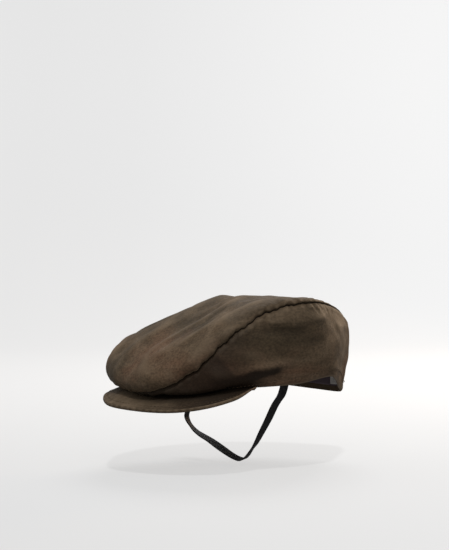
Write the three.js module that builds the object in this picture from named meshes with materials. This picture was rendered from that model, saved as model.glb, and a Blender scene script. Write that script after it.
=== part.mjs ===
// A soft flat cap in waxed cotton, with a stiff peak and an elastic chin strap that hangs in a loop.
// Sizes are millimetres. +Z is up, the peak points along -Y, and +X is the wearer's left.
// The origin is the middle of the head opening, at the height of its rim.
import * as THREE from "three";
import { mergeVertices } from "three/addons/utils/BufferGeometryUtils.js";

const CLOTH = 1.6; // thickness of the waxed cotton with its lining
const GAP = 0.4; // between two pieces that are sewn together
const ROUND = 450; // length of one turn of the crown, where it is shortest

// The crown is worked out on nine stations from the front centre (first) round the left side
// to the back centre (last). The right side mirrors them.
const RIM = [
  { forward: 100, side: 0, height: 9 },
  { forward: 92, side: 34, height: 8 },
  { forward: 70, side: 61, height: 4 },
  { forward: 38, side: 76, height: -2 },
  { forward: 0, side: 80, height: -1.5 },
  { forward: -38, side: 73, height: 4 },
  { forward: -60, side: 52, height: 0.5 },
  { forward: -81, side: 24, height: -5.5 },
  { forward: -97, side: 0, height: -10 },
];

// The seam between the top panel and the side panels.
const SEAM = [
  { forward: 134, side: 0, height: 2.5 },
  { forward: 127, side: 40, height: 6.5 },
  { forward: 100, side: 67, height: 22.8 },
  { forward: 74, side: 82, height: 47 },
  { forward: 35, side: 87, height: 65 },
  { forward: -8, side: 83, height: 72 },
  { forward: -45, side: 62, height: 71 },
  { forward: -76, side: 35, height: 64 },
  { forward: -99, side: 0, height: 57 },
];

// How full the cloth stands: the shoulder is the top panel half way out from the crown's middle,
// the crest the top panel above the seam, the belly the side panel under the seam, and the tuck
// the side panel above the rim. Out is away from the middle of the cap.
const FULLNESS = [
  { shoulderDown: 9, crestOut: 42, crestUp: 15, bellyOut: -1, bellyDown: 4, tuckOut: 14, tuckUp: 0 },
  { shoulderDown: 9, crestOut: 33, crestUp: 17, bellyOut: 0, bellyDown: 8.5, tuckOut: 15, tuckUp: -1.5 },
  { shoulderDown: 8, crestOut: 28, crestUp: 23, bellyOut: 5, bellyDown: 21, tuckOut: 21, tuckUp: -3 },
  { shoulderDown: 5, crestOut: 14, crestUp: 18, bellyOut: 6, bellyDown: 16, tuckOut: 16, tuckUp: 12 },
  { shoulderDown: 2, crestOut: 7, crestUp: 14, bellyOut: 9, bellyDown: 22, tuckOut: 14, tuckUp: 22 },
  { shoulderDown: 3, crestOut: 5, crestUp: 8, bellyOut: 10, bellyDown: 24, tuckOut: 12, tuckUp: 26 },
  { shoulderDown: 4, crestOut: 3, crestUp: 4, bellyOut: 10, bellyDown: 20, tuckOut: 10, tuckUp: 28 },
  { shoulderDown: 8, crestOut: 3, crestUp: 4, bellyOut: 10, bellyDown: 14, tuckOut: 8, tuckUp: 30 },
  { shoulderDown: 9, crestOut: 3, crestUp: 4, bellyOut: 8, bellyDown: 12, tuckOut: 6, tuckUp: 30 },
];
const APEX = { forward: 30, height: 85, shoulder: 0.46, round: 0.2 };

// The soft cap sits askew: its left side is higher, and its peak a little lower on that side.
const LEAN = { front: -0.08, back: 0.115, from: 150, to: 20 };

// Folds of the top panel, seen from above, each along a straight line. Rise is negative in a valley.
const TOP_FOLDS = [
  { forward: 126, side: 34, toForward: 72, toSide: 72, width: 9, rise: 2 },
  { forward: 122, side: 14, toForward: 60, toSide: 34, width: 8, rise: -2 },
  { forward: 118, side: -4, toForward: 40, toSide: 6, width: 10, rise: 2.6 },
  { forward: 96, side: -20, toForward: 20, toSide: -32, width: 11, rise: -1.2 },
  { forward: 104, side: -50, toForward: 66, toSide: -62, width: 10, rise: -1.8 },
  { forward: 78, side: -58, toForward: 48, toSide: -56, width: 14, rise: -3.4 },
  { forward: 34, side: -62, toForward: 8, toSide: -60, width: 10, rise: 2 },
  { forward: 36, side: 56, toForward: 4, toSide: 66, width: 9, rise: -2.2 },
  { forward: 0, side: 32, toForward: -52, toSide: 34, width: 10, rise: 1.6 },
  { forward: 6, side: -8, toForward: -66, toSide: -2, width: 10, rise: -1.6 },
  { forward: -6, side: -50, toForward: -46, toSide: -34, width: 9, rise: 1.6 },
  { forward: 120, side: -36, toForward: 106, toSide: -54, width: 11, rise: 3 },
];

// Folds of the side panels, seen from the side that is named.
const SIDE_FOLDS = [
  { left: true, forward: 58, height: 58, toForward: -4, toHeight: 60, width: 7, rise: -1.2 },
  { left: true, forward: 34, height: 68, toForward: -30, toHeight: 72, width: 6, rise: 1.4 },
  { left: true, forward: 84, height: 18, toForward: 26, toHeight: 26, width: 6, rise: 2.2 },
  { left: true, forward: 66, height: 4, toForward: 48, toHeight: 9, width: 6, rise: -1.2 },
  { left: true, forward: 48, height: 10, toForward: 24, toHeight: 15, width: 5, rise: -0.8 },
  { left: true, forward: 22, height: 34, toForward: -50, toHeight: 26, width: 12, rise: -1.2 },
  { left: false, forward: 50, height: 44, toForward: -14, toHeight: 50, width: 9, rise: -2 },
  { left: false, forward: 80, height: 18, toForward: 30, toHeight: 24, width: 6, rise: 1.2 },
  { left: false, forward: 62, height: 6, toForward: 34, toHeight: 11, width: 6, rise: -2.6 },
  { left: false, forward: 10, height: 22, toForward: -56, toHeight: 26, width: 11, rise: -1.2 },
];

// The outer edge of the peak, from its front centre to its left corner.
const PEAK_EDGE = [
  { forward: 153, side: 0, height: -9 },
  { forward: 142, side: 34, height: -8.6 },
  { forward: 120, side: 63, height: -8 },
  { forward: 92, side: 81, height: -7 },
  { forward: 66, side: 85, height: -5 },
  { forward: 44, side: 80, height: 0 },
];
const PEAK = { thickness: 4, camber: 3, corner: 0.18, tuck: 1, drop: 1, lip: 1.4, steps: 40, rows: 6 };

const BAND = { height: 27, thickness: 1, start: 1.94, inset: 0.8, flare: 0.03 };
const TAB = { from: 0.503, to: 0.525, low: 0.06, high: 0.5, thickness: 0.8, clear: 0.5 };

const STRAP = { width: 9, thickness: 1.1, corner: 0.35, steps: 64 };
// The strap's middle line from its left end, sewn to the sweatband, to its right end. Twist is in
// degrees, and is 0 where the strap's width points straight forward.
const STRAP_LINE = [
  { forward: 12, side: 78.6, height: 28, twist: 0 },
  { forward: 12, side: 77.8, height: 18, twist: 0 },
  { forward: 12, side: 76.3, height: 9, twist: 0 },
  { forward: 12, side: 74, height: 3, twist: 0 },
  { forward: 12, side: 70, height: -3, twist: 0 },
  { forward: 12, side: 63, height: -9, twist: 2 },
  { forward: 12, side: 57, height: -15, twist: 4 },
  { forward: 12, side: 47, height: -27, twist: 6 },
  { forward: 12, side: 35, height: -40, twist: 14 },
  { forward: 12, side: 24, height: -52, twist: 26 },
  { forward: 12, side: 16, height: -58.5, twist: 32 },
  { forward: 12, side: 8, height: -65, twist: 24 },
  { forward: 12, side: 0, height: -69, twist: 15 },
  { forward: 12, side: -9, height: -69.5, twist: 10 },
  { forward: 12, side: -21, height: -68, twist: 8 },
  { forward: 12, side: -33, height: -65.5, twist: 10 },
  { forward: 13, side: -43, height: -62.5, twist: 12 },
  { forward: 15, side: -58, height: -57.5, twist: 6 },
  { forward: 18, side: -70, height: -53.5, twist: 0 },
  { forward: 20, side: -79, height: -50, twist: -14 },
  { forward: 22, side: -85, height: -45.5, twist: -30 },
  { forward: 24, side: -89, height: -40, twist: -33 },
  { forward: 24.5, side: -90, height: -34, twist: -31 },
  { forward: 22, side: -87, height: -26.5, twist: -22 },
  { forward: 18, side: -81.5, height: -19.5, twist: -12 },
  { forward: 14, side: -77, height: -13, twist: -5 },
  { forward: 12.5, side: -76.4, height: -6, twist: 0 },
  { forward: 12, side: -77.6, height: 3, twist: 0 },
  { forward: 12, side: -78.5, height: 11, twist: 0 },
];

const OLIVE = { color: "#4a3d2e", roughness: 0.65 };
const PLUM = { color: "#33292c", roughness: 0.8 };
const GREY = { color: "#8d8a86", roughness: 0.85 };
const BLACK = { color: "#1b1b1d", roughness: 0.75 };

const { lerp, smoothstep, clamp, degToRad } = THREE.MathUtils;
const UP = new THREE.Vector3(0, 0, 1);
const AHEAD = new THREE.Vector3(0, -1, 0);

const vector = (row) => new THREE.Vector3(row.side, -row.forward, row.height);
const mirrored = (row) => ({ ...row, side: -row.side });
const smooth = (points, closed) => new THREE.CatmullRomCurve3(points, closed, "catmullrom", 0.5);
const ring = (rows) => smooth([...rows, ...rows.slice(1, -1).reverse().map(mirrored)].map(vector), true);
const wrap = (turn) => turn - Math.floor(turn);

// Evenly spaced shares from a start to an end, both included.
const shares = (from, to, count) => Array.from({ length: count + 1 }, (_, i) => lerp(from, to, i / count));

const rim = ring(RIM);
const seam = ring(SEAM);
const strapLine = smooth(STRAP_LINE.map(vector), false);
const strapTwist = smooth(STRAP_LINE.map((row) => new THREE.Vector3(row.twist, 0, 0)), false);
const peakEdge = smooth([...PEAK_EDGE.slice(1).reverse().map(mirrored), ...PEAK_EDGE].map(vector), false);

// The value of one column of the fullness table at a turn round the cap.
const allStations = [...FULLNESS, ...FULLNESS.slice(1, -1).reverse()];
const columnCurve = (column) => smooth(allStations.map((row) => new THREE.Vector3(row[column], 0, 0)), true);
const columnCurves = Object.fromEntries(Object.keys(FULLNESS[0]).map((column) => [column, columnCurve(column)]));
const fullness = (turn, column) => columnCurves[column].getPoint(wrap(turn)).x;

// The level direction straight out from a ring at a turn.
function outward(curve, turn) {
  const along = curve.getTangent(wrap(turn));
  return new THREE.Vector3(along.y, -along.x, 0).normalize();
}

function leaned(point) {
  const share = smoothstep(-point.y, LEAN.to, LEAN.from);
  point.z += point.x * lerp(LEAN.back, LEAN.front, share);
  return point;
}

const offset = (point, out, byOut, byUp) => point.clone().addScaledVector(out, byOut).addScaledVector(UP, byUp);

// A point of the unfolded crown. Down runs from 0 at its middle through 1 at the seam to 2 at the rim.
function plainCrown(turn, down) {
  const onSeam = seam.getPoint(wrap(turn));
  const outOfSeam = outward(seam, turn);
  if (down <= 1) {
    const middle = new THREE.Vector3(0, -APEX.forward, APEX.height);
    const shoulder = middle.clone().lerp(onSeam, APEX.shoulder).setZ(APEX.height);
    const crest = offset(onSeam, outOfSeam, fullness(turn, "crestOut"), fullness(turn, "crestUp"));
    const point = new THREE.CubicBezierCurve3(middle, shoulder, crest, onSeam).getPoint(down);
    const hold = 1 - Math.exp(-((down / APEX.round) ** 2));
    point.z -= 3 * down * (1 - down) ** 2 * hold * fullness(turn, "shoulderDown");
    return leaned(point);
  }
  const onRim = rim.getPoint(wrap(turn));
  const belly = offset(onSeam, outOfSeam, fullness(turn, "bellyOut"), -fullness(turn, "bellyDown"));
  const tuck = offset(onRim, outward(rim, turn), fullness(turn, "tuckOut"), fullness(turn, "tuckUp"));
  return leaned(new THREE.CubicBezierCurve3(onSeam, belly, tuck, onRim).getPoint(down - 1));
}

// The crown's outward direction, from the surface a little to each side of the point.
function crownNormal(turn, down) {
  if (down === 0) return UP.clone();
  const across = plainCrown(turn + 0.004, down).sub(plainCrown(turn - 0.004, down));
  const above = plainCrown(turn, Math.max(down - 0.03, 0.001));
  const below = plainCrown(turn, Math.min(down + 0.03, 2));
  return below.sub(above).cross(across).normalize();
}

// How far a fold lifts a place on its panel, both given as flat coordinates.
function foldRise(x, y, fold) {
  const [dx, dy] = [fold.x1 - fold.x0, fold.y1 - fold.y0];
  const along = clamp(((x - fold.x0) * dx + (y - fold.y0) * dy) / (dx * dx + dy * dy), 0, 1);
  const distance = Math.hypot(x - fold.x0 - along * dx, y - fold.y0 - along * dy);
  return fold.rise * Math.exp(-((distance / fold.width) ** 2));
}

const topFolds = TOP_FOLDS.map((f) =>
  ({ ...f, x0: f.forward, y0: f.side, x1: f.toForward, y1: f.toSide }));
const sideFolds = SIDE_FOLDS.map((f) =>
  ({ ...f, x0: f.forward, y0: f.height, x1: f.toForward, y1: f.toHeight }));

// A point of the crown's outer face with its folds, which die out towards the seam and the rim.
function crownPoint(turn, down) {
  const point = plainCrown(turn, down);
  const onTop = down <= 1;
  const fade = onTop ? 1 - down ** 8 : 1 - Math.abs(2 * down - 3) ** 4;
  const rise = onTop
    ? topFolds.reduce((sum, fold) => sum + foldRise(-point.y, point.x, fold), 0)
    : sideFolds.filter((fold) => fold.left === point.x > 0)
      .reduce((sum, fold) => sum + foldRise(-point.y, point.z, fold), 0);
  return point.addScaledVector(crownNormal(turn, down), rise * fade);
}

// Joins two grids of points, an outer and an inner one, into a closed shell. A ring's rows close on
// themselves, and the first row of a dome is a single point.
function shell(outer, inner, { isRing = false, isDome = false } = {}) {
  const rows = outer.length;
  const columns = outer[0].length;
  const last = isRing ? columns : columns - 1;
  const index = [];
  const id = (layer, row, column) => layer * rows * columns + row * columns + (column % columns);
  const quad = (a, b, c, d) => index.push(a, b, c, a, c, d);
  for (let column = 0; column < last; column += 1) {
    const next = column + 1;
    for (let row = 0; row < rows - 1; row += 1) {
      const low = row + 1;
      if (isDome && row === 0) {
        index.push(id(0, 0, column), id(0, 1, column), id(0, 1, next));
        index.push(id(1, 0, column), id(1, 1, next), id(1, 1, column));
      } else {
        quad(id(0, row, column), id(0, low, column), id(0, low, next), id(0, row, next));
        quad(id(1, row, column), id(1, row, next), id(1, low, next), id(1, low, column));
      }
    }
    quad(id(0, rows - 1, column), id(1, rows - 1, column), id(1, rows - 1, next), id(0, rows - 1, next));
    if (!isDome) quad(id(0, 0, column), id(0, 0, next), id(1, 0, next), id(1, 0, column));
  }
  for (let row = 0; row < rows - 1 && !isRing; row += 1) {
    quad(id(0, row, 0), id(1, row, 0), id(1, row + 1, 0), id(0, row + 1, 0));
    quad(id(0, row, last), id(0, row + 1, last), id(1, row + 1, last), id(1, row, last));
  }
  const positions = [...outer.flat(), ...inner.flat()].flatMap((p) => p.toArray());
  const geometry = new THREE.BufferGeometry()
    .setAttribute("position", new THREE.Float32BufferAttribute(positions, 3))
    .setIndex(index);
  return mergeVertices(geometry, 1e-4);
}

// The share of a panel that is left free beside the seam, where its cloth starts towards a handle.
const seamShare = (turn, out, up) => GAP / 2 / (3 * Math.hypot(fullness(turn, out), fullness(turn, up)));

function crownPanel(turns, downs, kind) {
  const at = (depth) => downs.map((place) => turns.map((turn) => {
    const down = place(turn);
    return crownPoint(turn, down).addScaledVector(crownNormal(turn, down), -depth);
  }));
  return shell(at(0), at(CLOTH), kind);
}

// A point on top of the peak. Across runs from 0 at its right corner to 1 at its left, and out
// from 0 under the rim to 1 at the outer edge.
function peakPoint(across, out) {
  const turn = (2 * across - 1) * PEAK.corner;
  const inner = offset(rim.getPoint(wrap(turn)), outward(rim, turn), -PEAK.tuck, -PEAK.drop);
  const point = inner.lerp(peakEdge.getPoint(across), out);
  point.z += PEAK.camber * 4 * out * (1 - out) * Math.sin(Math.PI * across);
  return leaned(point);
}

function peakNormal(across, out) {
  const left = peakPoint(Math.min(across + 0.01, 1), out);
  const right = peakPoint(Math.max(across - 0.01, 0), out);
  const outer = peakPoint(across, Math.min(out + 0.05, 1));
  const inner = peakPoint(across, Math.max(out - 0.05, 0));
  return outer.sub(inner).cross(left.sub(right)).normalize();
}

// The stiff peak: two faces, and a rounded lip along the outer edge.
function peak() {
  const acrosses = shares(0, 1, PEAK.steps);
  const outs = shares(0, 1, PEAK.rows);
  const lip = acrosses.map((across) => offset(peakPoint(across, 1), peakNormal(across, 1), -PEAK.thickness / 2, 0));
  const face = (depth) => outs.map((out) => acrosses.map((across) => {
    const shortened = Math.min(out, 1 - PEAK.lip / peakPoint(across, 0).distanceTo(peakPoint(across, 1)));
    return offset(peakPoint(across, shortened), peakNormal(across, out), -depth, 0);
  }));
  return shell([...face(0), lip], [...face(PEAK.thickness), lip]);
}

// A point on a face of the sweatband, which stands up from just above the rim, at a depth inward
// from its outer face. Up is a share of the band's height.
function bandPoint(turn, up, depth) {
  const foot = plainCrown(turn, BAND.start).addScaledVector(crownNormal(turn, BAND.start), -CLOTH - BAND.inset);
  const rise = up * BAND.height;
  return offset(foot, outward(rim, turn), BAND.flare * rise - depth, rise);
}

function bandPiece(turns, ups, depth, thickness, kind) {
  const at = (inward) => ups.map((up) => turns.map((turn) => bandPoint(turn, up, inward)));
  return shell(at(depth), at(depth + thickness), kind);
}

// The strap: a flat section with blunted corners, swept along its line and twisted as it goes.
function strap() {
  const [w, t, c] = [STRAP.width / 2, STRAP.thickness / 2, STRAP.corner];
  const section = [[w, t - c], [w - c, t], [c - w, t], [-w, t - c], [-w, c - t], [c - w, -t], [w - c, -t], [w, c - t]];
  const positions = [];
  const index = [];
  const sides = section.length;
  shares(0, 1, STRAP.steps).forEach((share, step) => {
    const along = strapLine.getTangent(share);
    const across = AHEAD.clone().cross(along).normalize();
    const ahead = along.clone().cross(across);
    const twist = degToRad(strapTwist.getPoint(share).x);
    const wide = ahead.clone().multiplyScalar(Math.cos(twist)).addScaledVector(across, Math.sin(twist));
    const thick = along.clone().cross(wide);
    section.forEach(([x, y]) => {
      positions.push(...strapLine.getPoint(share).addScaledVector(wide, x).addScaledVector(thick, y).toArray());
    });
    for (let side = 0; side < sides && step > 0; side += 1) {
      const [a, b] = [step * sides + side, step * sides + ((side + 1) % sides)];
      index.push(a - sides, b - sides, b, a - sides, b, a);
    }
  });
  const end = STRAP.steps * sides;
  for (let side = 1; side < sides - 1; side += 1) {
    index.push(0, side + 1, side, end, end + side, end + side + 1);
  }
  return new THREE.BufferGeometry()
    .setAttribute("position", new THREE.Float32BufferAttribute(positions, 3))
    .setIndex(index);
}

const group = new THREE.Group();

function add(name, geometry, finish) {
  const mesh = new THREE.Mesh(geometry, new THREE.MeshStandardMaterial({ ...finish, metalness: 0 }));
  mesh.name = name;
  group.add(mesh);
}

const allRound = shares(0, 1, 72).slice(0, -1);
const freeTurn = GAP / 2 / ROUND;
const topRows = shares(0, 1, 14).map((share) => (turn) =>
  share * (1 - seamShare(turn, "crestOut", "crestUp")));
const sideRows = shares(0, 1, 10).map((share) => (turn) =>
  2 - (1 - share) * (1 - seamShare(turn, "bellyOut", "bellyDown")));

add("top_panel", crownPanel(allRound, topRows, { isRing: true, isDome: true }), OLIVE);
add("side_left", crownPanel(shares(freeTurn, 0.5 - freeTurn, 36), sideRows), OLIVE);
add("side_right", crownPanel(shares(0.5 + freeTurn, 1 - freeTurn, 36), sideRows), OLIVE);
add("peak", peak(), OLIVE);
add("sweatband", bandPiece(allRound, shares(1, 0, 2), 0, BAND.thickness, { isRing: true }), PLUM);
add("back_tab", bandPiece(shares(TAB.from, TAB.to, 4), [TAB.high, TAB.low], BAND.thickness + TAB.clear, TAB.thickness), GREY);
add("chin_strap", strap(), BLACK);

export default group;
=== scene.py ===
# A soft flat cap in waxed cotton, with a stiff peak and an elastic chin strap that hangs in a loop.
# The tables are in millimetres. +Z is up, the peak points along -Y, and +X is the wearer's left.
# The origin is the middle of the head opening, at the height of its rim.
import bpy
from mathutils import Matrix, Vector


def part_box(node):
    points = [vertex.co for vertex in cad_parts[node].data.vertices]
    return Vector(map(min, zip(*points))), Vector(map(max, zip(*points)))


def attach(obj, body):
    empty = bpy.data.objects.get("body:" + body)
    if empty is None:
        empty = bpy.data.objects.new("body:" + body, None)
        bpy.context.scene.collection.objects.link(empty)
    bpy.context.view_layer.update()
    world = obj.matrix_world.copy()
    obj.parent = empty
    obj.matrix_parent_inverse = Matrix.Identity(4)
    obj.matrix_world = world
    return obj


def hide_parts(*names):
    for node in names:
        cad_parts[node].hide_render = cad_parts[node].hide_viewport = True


bl_info = {
    "name": "Flat Cap",
    "version": (1, 0, 0),
    "blender": (4, 5, 0),
    "location": "3D View > Sidebar > Flat Cap",
    "description": "Makes a soft flat cap with a chin strap, and a studio stage for it",
    "category": "Add Mesh",
}

from collections import namedtuple

import bpy
import numpy as np
from bpy.props import FloatProperty, FloatVectorProperty, IntProperty, PointerProperty
from bpy.types import Operator, Panel, PropertyGroup
from mathutils import Matrix, Vector, noise

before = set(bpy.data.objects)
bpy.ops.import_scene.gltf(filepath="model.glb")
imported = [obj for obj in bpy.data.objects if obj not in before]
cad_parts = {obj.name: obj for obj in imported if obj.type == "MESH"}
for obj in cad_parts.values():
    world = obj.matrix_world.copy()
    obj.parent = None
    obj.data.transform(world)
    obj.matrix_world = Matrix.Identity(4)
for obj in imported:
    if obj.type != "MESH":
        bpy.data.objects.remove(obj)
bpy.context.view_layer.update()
MM = 0.001

CLOTH = 1.6  # thickness of the waxed cotton with its lining
HALF_GAP = 0.2  # free on each side of the back seam
ROUND = 450  # length of one turn of the crown, where it is shortest
TURN_STEP, DOWN_STEP, ACROSS_STEP, OUT_STEP = 0.004, 0.03, 0.01, 0.05  # that a normal is taken over

# The grain of each unevenness: its length along X, Y and Z.
CRUMPLE, SMALL_CRUMPLE = (26, 60, 26), (11, 24, 11)
PEAK_RIPPLE_GRAIN, PEAK_STREAK_GRAIN, BAND_WAVE_GRAIN = (9, 26, 9), (5, 30, 5), (14, 18, 10)

Place = namedtuple("Place", "forward side height")
# The crown's stations run from the front centre round the left side to the back centre.
RIM = [
    Place(100, 0, 9), Place(92, 34, 8), Place(70, 61, 4), Place(38, 76, -2), Place(0, 80, -1.5),
    Place(-38, 73, 4), Place(-60, 52, 0.5), Place(-81, 24, -5.5), Place(-97, 0, -10),
]
SEAM = [
    Place(134, 0, 2.5), Place(127, 40, 6.5), Place(100, 67, 22.8), Place(74, 82, 47), Place(35, 87, 65),
    Place(-8, 83, 72), Place(-45, 62, 71), Place(-76, 35, 64), Place(-99, 0, 57),
]

# How full the cloth stands: the shoulder is on the top panel half way out, the crest above the
# seam, the belly under the seam and the tuck above the rim.
Full = namedtuple("Full", "shoulder_down crest_out crest_up belly_out belly_down tuck_out tuck_up")
FULLNESS = [
    Full(9, 42, 15, -1, 4, 14, 0),
    Full(9, 33, 17, 0, 8.5, 15, -1.5),
    Full(8, 28, 23, 5, 21, 21, -3),
    Full(5, 14, 18, 6, 16, 16, 12),
    Full(2, 7, 14, 9, 22, 14, 22),
    Full(3, 5, 8, 10, 24, 12, 26),
    Full(4, 3, 4, 10, 20, 10, 28),
    Full(8, 3, 4, 10, 14, 8, 30),
    Full(9, 3, 4, 8, 12, 6, 30),
]
APEX_FORWARD, APEX_HEIGHT, APEX_SHOULDER, APEX_ROUND = 30, 85, 0.46, 0.2
LEAN_FRONT, LEAN_BACK, LEAN_FROM, LEAN_TO = -0.08, 0.115, 150, 20

# Folds of the top panel seen from above. The deep ones come first, then the fine ones.
Fold = namedtuple("Fold", "forward side to_forward to_side width rise")
TOP_FOLDS = [
    Fold(126, 34, 72, 72, 9, 2),
    Fold(122, 14, 60, 34, 8, -2),
    Fold(118, -4, 40, 6, 10, 2.6),
    Fold(96, -20, 20, -32, 11, -1.2),
    Fold(104, -50, 66, -62, 10, -1.8),
    Fold(78, -58, 48, -56, 14, -3.4),
    Fold(34, -62, 8, -60, 10, 2),
    Fold(36, 56, 4, 66, 9, -2.2),
    Fold(0, 32, -52, 34, 10, 1.6),
    Fold(6, -8, -66, -2, 10, -1.6),
    Fold(-6, -50, -46, -34, 9, 1.6),
    Fold(120, -36, 106, -54, 11, 3),
]
TOP_CREASES = [
    Fold(122, 44, 84, 66, 4, -0.9),
    Fold(108, 50, 66, 62, 3.5, 0.9),
    Fold(122, 30, 62, 52, 3.5, -0.8),
    Fold(117, 22, 72, 40, 3, 0.7),
    Fold(96, 14, 50, 20, 4, -0.9),
    Fold(90, 30, 44, 44, 4, 0.8),
    Fold(70, 68, 40, 76, 4, 0.8),
    Fold(48, 62, 24, 74, 4, -1.1),
    Fold(130, 4, 104, 10, 4, -0.7),
    Fold(70, -30, 28, -44, 4, 0.8),
    Fold(48, -12, -10, -20, 5, -0.8),
    Fold(-20, 46, -60, 30, 4, 0.7),
    Fold(-10, 20, -70, 10, 5, -0.7),
    Fold(110, -30, 80, -44, 4, 0.8),
]
# Folds of the side panels, seen from their side: forward and height in place of side.
LEFT_FOLDS = [
    Fold(58, 58, -4, 60, 7, -1.2),
    Fold(34, 68, -30, 72, 6, 1.4),
    Fold(84, 18, 26, 26, 6, 2.2),
    Fold(66, 4, 48, 9, 6, -1.2),
    Fold(48, 10, 24, 15, 5, -0.8),
    Fold(22, 34, -50, 26, 12, -1.2),
]
RIGHT_FOLDS = [
    Fold(50, 44, -14, 50, 9, -2),
    Fold(80, 18, 30, 24, 6, 1.2),
    Fold(62, 6, 34, 11, 6, -2.6),
    Fold(10, 22, -56, 26, 11, -1.2),
]
# Lines of painted shade, in the hollow of each side above the peak's corner.
LEFT_HOLLOW = [Fold(84, 12, 50, 16, 8, -1), Fold(50, 16, 27, 21.5, 5.5, -1)]
RIGHT_HOLLOW = [Fold(84, 8, 50, 8, 8, -1), Fold(50, 8, 34, 11, 5.5, -1)]
LEFT_CREASES = [
    Fold(44, 66, 10, 62, 3, 0.8),
    Fold(10, 62, -26, 68, 3, 0.8),
    Fold(40, 58, 0, 56, 4, -0.7),
    Fold(66, 40, 30, 30, 5, 0.6),
    Fold(20, 48, -50, 50, 6, -0.5),
    Fold(-40, 20, -84, 12, 4, 0.5),
    Fold(-50, 60, -84, 54, 4, 0.5),
]
RIGHT_CREASES = [
    Fold(50, 34, 6, 30, 4, 0.8),
    Fold(6, 40, -60, 44, 5, -0.6),
    Fold(-40, 14, -84, 8, 4, 0.5),
]

# Bands along an edge, where the cloth rises or its colour changes: by how much, how far the band's
# middle lies off the edge, and how far it reaches to each side of that.
Band = namedtuple("Band", "amount off reach")
SEAM_GATHER = Band(1, 4, 5)
SEAM_ROLL = Band(1, 0, 0.9)
SEAM_ALLOWANCE = Band(0.45, 4.5, 2.4)
SEAM_SNAKE = Band(1, 0, 9)
SEAM_SHADE = Band(1, 0, 0.5)
SEAM_WEAR = Band(0.5, 3.2, 1.8)
# A painted highlight along the ridge of the front seam.
FRONT_SEAM_HIGHLIGHT = Band(0.9, 1.5, 1.2)
RIM_CALM = Band(1, 0, 6)
RIM_ROLL = Band(0.5, 0, 0.8)
RIM_RIDGE = Band(0.3, 3, 2)
RIM_NO_ROLL = Band(1, 0, 2)
RIM_HEM = Band(0.8, 0, 5)
RIM_WEAR = Band(0.9, 0.8, 0.12)  # off the hem's own mark, which is 0.8 at the rim
END_ROLL = Band(1, 0, 1.2)
END_SHADE = Band(0.8, 0, 0.8)
# A painted highlight on each side panel near the back.
BACK_HIGHLIGHT = Band(0.7, 46, 9)
PEAK_JOIN_RIDGE = Band(1.7, 0, 4)
PEAK_RIPPLE = Band(0.22, 6, 12)
PEAK_GROOVES = Band(0.25, 5, 0.9), Band(0.2, 11, 0.9)
PEAK_EDGE_WEAR = Band(0.35, 0, 2.5)
PEAK_UNDER_WEAR = Band(0.3, 0, 2.5)

# Ramps, on which something grows: by how much, and from where to where. They run in turns from the
# front, in millimetres off an edge or forward, in the cloth's relief, or in shares of the peak.
Ramp = namedtuple("Ramp", "amount low high")
SEAM_SHOWS = Ramp(1, 0.075, 0.12)
SNAKE_ENDS = Ramp(1, 0.24, 0.34)
SEAM_WEAR_ENDS = Ramp(1, 0.16, 0.22)
CREASES_START = Ramp(1, 0, 8)
# The crests are worn light with painted highlight; the troughs get painted shade.
CREST_WEAR_AND_HIGHLIGHT = Ramp(0.85, 0.2, 1.9)
TROUGH_SHADE = Ramp(0.35, 0.2, 1.8)
# Painted shade in the hollow above the peak's corner.
HOLLOW_SHADE = Ramp(0.84, 0.1, 0.95)
# Painted shade on the front of the side panels, and low above the peak.
FRONT_SHADE = Ramp(0.66, 36, 80)
LOW_SHADE = Ramp(0.82, 22, 48)
LOW_SHADE_HEIGHT, LOW_SHADE_ENDS = Ramp(50, 50, 95), Ramp(1, 6, 18)
PEAK_THIN, PEAK_THICKER = 0.3, Ramp(0.7, 0, 0.12)
# Painted shadow of the crown on the peak: at its join and towards its corners.
PEAK_JOIN_SHADE, PEAK_JOIN_SIDES, PEAK_JOIN_ENDS = 0.3, Ramp(0.65, 0, 0.3), Ramp(1, 0.6, 1.02)
PEAK_CORNER_SHADE = Ramp(0.88, 0.1, 0.65)
# A painted highlight on the outer part of the peak's front.
PEAK_HIGHLIGHT, PEAK_HIGHLIGHT_ENDS = Ramp(0.8, 0.4, 0.8), Ramp(1, 0.1, 0.45)

# Waves along a seam. Each swings at a rate that a slower wave bends, so that it never repeats.
Wave = namedtuple("Wave", "height rate bend slow_rate phase")
GATHER_WAVES = [Wave(1, 0.52, 1.9, 0.083, 0), Wave(0.5, 0.87, 2.3, 0.047, 1)]
SNAKE_WAVES = [Wave(0.9, 0.29, 1.8, 0.06, 0), Wave(0.55, 0.83, 2, 0.1, 0)]

PEAK_EDGE = [
    Place(153, 0, -9), Place(142, 34, -8.6), Place(120, 63, -8), Place(92, 81, -7),
    Place(66, 85, -5), Place(44, 80, 0),
]
PEAK_THICKNESS, PEAK_CAMBER, PEAK_CORNER, PEAK_TUCK, PEAK_DROP, PEAK_LIP = 4, 3, 0.18, 1, 1, 1.4

BAND_HEIGHT, BAND_THICKNESS, BAND_START, BAND_INSET = 27, 1, 1.94, 0.8
BAND_FLARE, BAND_WAVE = 0.03, 0.18
TAB_FROM, TAB_TO, TAB_LOW, TAB_HIGH, TAB_THICKNESS, TAB_CLEAR = 0.503, 0.525, 0.06, 0.5, 0.8, 0.5

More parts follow.
